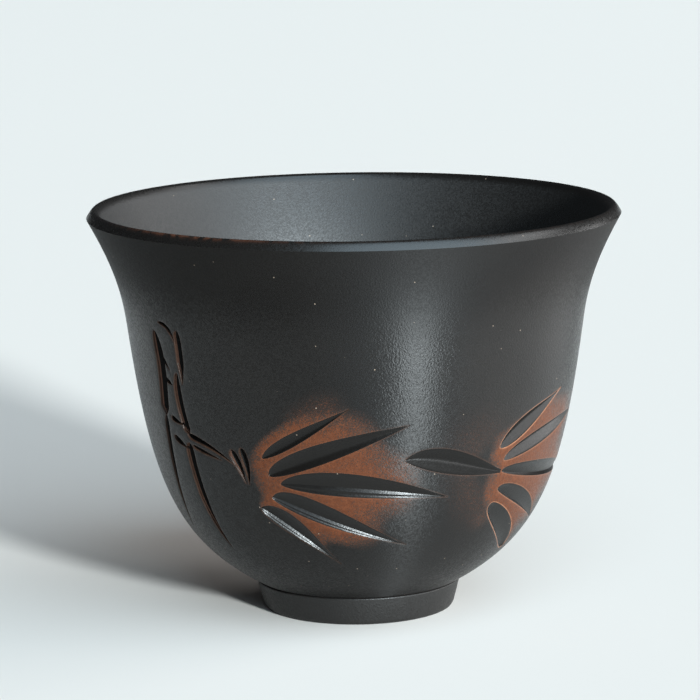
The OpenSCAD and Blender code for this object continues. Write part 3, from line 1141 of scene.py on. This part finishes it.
def foot_coat_piece():
    points, faces = revolve(rounded(
        clay_bevel,
        (foot_side(0) - COAT_T - TOE_BACK, TOE_Z, 0),
        (foot_side(TOE_Z) - TIP_BACK, TIP_Z, EDGE_ROUND),
        (foot_side(FOOT_EDGE), FOOT_EDGE, BEVEL_ROUND),
        (foot_side(LEDGE_Z), LEDGE_Z + COVE_RISE, SHOULDER_ROUND),
        (ledge_r - COVE_LAP, LEDGE_Z + COVE_TOP, COVE_ROUND),
        (ledge_r - COVE_TUCK, LEDGE_Z + COVE_RISE, 0),
        clay_ledge,
    ))
    make_piece("foot_slip_look", points, faces, foot_material)


def foot_ring_piece():
    points, faces = revolve(rounded(
        (recess_side(0) + FOOT_EDGE, 0, STANDING_ROUND),
        (foot_side(0) - COAT_T - FOOT_EDGE, 0, STANDING_ROUND),
        clay_bevel,
        clay_ledge,
        (ledge_r, seat_z(ledge_r) - LUTE_T, 0),
        (RECESS_R, RECESS_H - LUTE_T, 0),
        (recess_side(FOOT_EDGE), FOOT_EDGE, 0),
    ))
    make_piece("foot_ring_look", points, faces, clay_material)


def luting_piece():
    lute_r = body_seat[0] - LUTE_SETBACK
    points, faces = revolve([
        (RECESS_R, RECESS_H - LUTE_T),
        (lute_r, seat_z(lute_r) - LUTE_T),
        (lute_r, seat_z(lute_r)),
        (RECESS_R, RECESS_H),
    ])
    make_piece("luting_slip_look", points, faces, foot_material)


def base_coat_piece():
    points, faces = revolve(rounded(
        (0, RECESS_H, 0),
        (0, RECESS_H - COAT_T, 0),
        (RECESS_R - COAT_T, RECESS_H - COAT_T, RECESS_ROUND),
        (recess_side(FOOT_EDGE) - COAT_T, FOOT_EDGE, EDGE_ROUND),
        (recess_side(FOOT_EDGE), FOOT_EDGE, EDGE_ROUND),
        (RECESS_R, RECESS_H - LUTE_T, 0),
        (RECESS_R, RECESS_H, 0),
    ))
    make_piece("base_slip_look", points, faces, foot_material)


coat_piece()
leaf_piece("left_leaf_slip_look", LEFT)
leaf_piece("right_leaf_slip_look", RIGHT)
bowl_piece()
inner_piece()
foot_coat_piece()
foot_ring_piece()
luting_piece()
base_coat_piece()


# Camera, at the photograph's place

CAMERA_PLACE = Vector((0.0, -488.58, 121.876))
PITCH = math.radians(9.955)
YAW = math.radians(-0.0904)
ROLL = math.radians(0.767)
FOCAL_PIXELS = 3554.6
IMAGE_PIXELS = 700
SENSOR = 36.0
CLIP_START = 10.0


def add_camera():
    data = bpy.data.cameras.new("camera")
    data.sensor_width = SENSOR
    data.lens = SENSOR * FOCAL_PIXELS / IMAGE_PIXELS
    data.clip_start = CLIP_START * MM
    camera = add_object("camera", data)
    aim = Matrix.Rotation(-YAW, 4, "Z") @ Matrix.Rotation(math.pi / 2 - PITCH, 4, "X")
    roll = Matrix.Rotation(-ROLL, 4, "Z")
    camera.matrix_world = Matrix.Translation(CAMERA_PLACE * MM) @ aim @ roll
    bpy.context.scene.camera = camera


# Floor and light, in metres

FLOOR_SIZE = 16.0
FLOOR_COLOR = (0.81, 0.765, 0.72)
WORLD_COLOR = (0.93, 0.96, 1.0)
WORLD_STRENGTH = 0.04


def add_floor():
    mesh = bpy.data.meshes.new("floor")
    half = FLOOR_SIZE / 2
    square = [(-half, -half, 0), (half, -half, 0), (half, half, 0), (-half, half, 0)]
    mesh.from_pydata(square, [], [(0, 1, 2, 3)])
    n = Nodes("floor")
    n.set("Base Color", FLOOR_COLOR)
    n.set("Roughness", 1.0)
    n.set("Specular IOR Level", 0.0)
    mesh.materials.append(n.material)
    floor = add_object("floor", mesh)


def add_sun(name, azimuth, rise, strength, angle, color):
    """A far lamp, given by the direction it shines from and the angle it fills, in degrees."""
    data = bpy.data.lights.new(name, "SUN")
    data.energy = strength
    data.angle = math.radians(angle)
    data.color = color
    turn = math.radians(azimuth)
    level = math.cos(math.radians(rise))
    towards = Vector((math.sin(turn) * level, -math.cos(turn) * level, math.sin(math.radians(rise))))
    lamp = add_object(name, data)
    lamp.rotation_euler = towards.to_track_quat("Z", "Y").to_euler()


def add_softbox(name, place, size, power):
    """A flat lamp, given by its width and height, that faces the cup."""
    data = bpy.data.lights.new(name, "AREA")
    data.energy = power
    data.shape = "RECTANGLE"
    data.size, data.size_y = size
    lamp = add_object(name, data)
    lamp.location = place
    lamp.rotation_euler = Vector(place).to_track_quat("Z", "Y").to_euler()


def add_world():
    world = bpy.data.worlds.new("world")
    world.use_nodes = True
    back = world.node_tree.nodes["Background"]
    back.inputs["Color"].default_value = (*WORLD_COLOR, 1.0)
    back.inputs["Strength"].default_value = WORLD_STRENGTH
    bpy.context.scene.world = world


add_camera()
add_floor()
add_world()

# A low light for the streak down the coat, a long strip and a small panel on the right, and a wide light
add_sun("key", azimuth=30.5, rise=13, strength=6.5, angle=7, color=(0.88, 0.97, 1.0))
add_softbox("right", place=(5.23, 0.1, 1.035), size=(8.8, 1.98), power=305.0)
add_softbox("side", place=(3.96, 0.135, 3.45), size=(2.85, 1.29), power=31.5)
add_sun("window", azimuth=30, rise=44, strength=2.3, angle=64, color=(0.66, 0.86, 1.0))
bpy.context.scene.view_settings.view_transform = "Standard"
